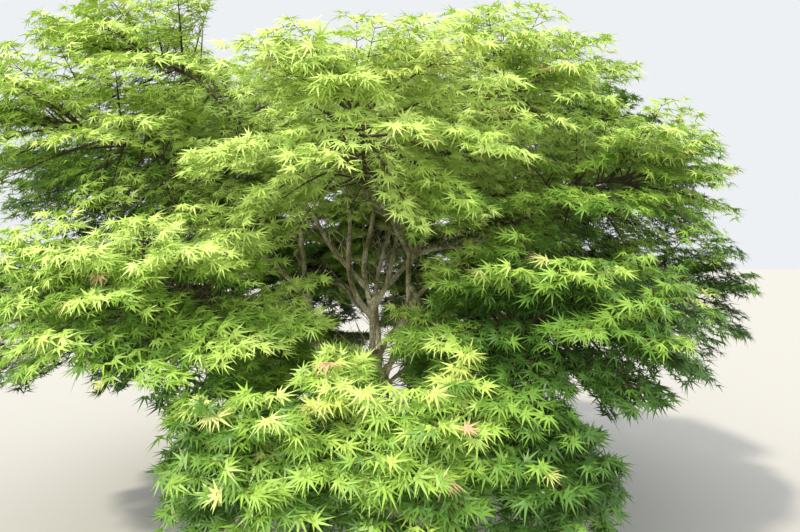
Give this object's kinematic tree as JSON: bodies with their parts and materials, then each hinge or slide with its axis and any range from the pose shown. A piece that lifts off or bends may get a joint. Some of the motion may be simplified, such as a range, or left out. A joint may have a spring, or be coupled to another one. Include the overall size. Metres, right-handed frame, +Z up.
{
  "type": "japanese maple tree",
  "caption": "Spreading garden maple with a short leaning trunk, long thin boughs and drooping tiers of deeply cut green leaves.",
  "frame": {"origin": "middle of the flat cut under the trunk, at ground level", "axes": "+Z up along the trunk; +X to the right and +Y away from the viewer in the picture"},
  "size_m": [4.7484, 4.7276, 2.9964],
  "materials": {
    "bark": "rough grey-brown bark",
    "foliage": "thin matt green leaves"
  },
  "bodies": {
    "root": {"trunk": "bark", "bough_crest_1": "bark", "bough_crest_2": "bark", "bough_crest_3": "bark", "bough_top_1": "bark", "bough_top_2": "bark", "bough_top_3": "bark", "bough_top_4": "bark", "bough_top_5": "bark", "bough_high_1": "bark", "bough_high_2": "bark", "bough_high_3": "bark", "bough_high_4": "bark", "bough_high_5": "bark", "bough_high_6": "bark", "bough_high_7": "bark", "bough_high_8": "bark", "bough_shoulder_1": "bark", "bough_shoulder_2": "bark", "bough_shoulder_3": "bark", "bough_shoulder_4": "bark", "bough_shoulder_5": "bark", "bough_shoulder_6": "bark", "bough_shoulder_7": "bark", "bough_shoulder_8": "bark", "bough_skirt_1": "bark", "bough_skirt_2": "bark", "bough_skirt_3": "bark", "bough_hem_1": "bark", "bough_hem_2": "bark", "foliage_crest_1": "foliage", "foliage_crest_2": "foliage", "foliage_crest_3": "foliage", "foliage_top_1": "foliage", "foliage_top_2": "foliage", "foliage_top_3": "foliage", "foliage_top_4": "foliage", "foliage_top_5": "foliage", "foliage_high_1": "foliage", "foliage_high_2": "foliage", "foliage_high_3": "foliage", "foliage_high_4": "foliage", "foliage_high_5": "foliage", "foliage_high_6": "foliage", "foliage_high_7": "foliage", "foliage_high_8": "foliage", "foliage_shoulder_1": "foliage", "foliage_shoulder_2": "foliage", "foliage_shoulder_3": "foliage", "foliage_shoulder_4": "foliage", "foliage_shoulder_5": "foliage", "foliage_shoulder_6": "foliage", "foliage_shoulder_7": "foliage", "foliage_shoulder_8": "foliage", "foliage_skirt_1": "foliage", "foliage_skirt_2": "foliage", "foliage_skirt_3": "foliage", "foliage_hem_1": "foliage", "foliage_hem_2": "foliage"}
  },
  "joints": []
}
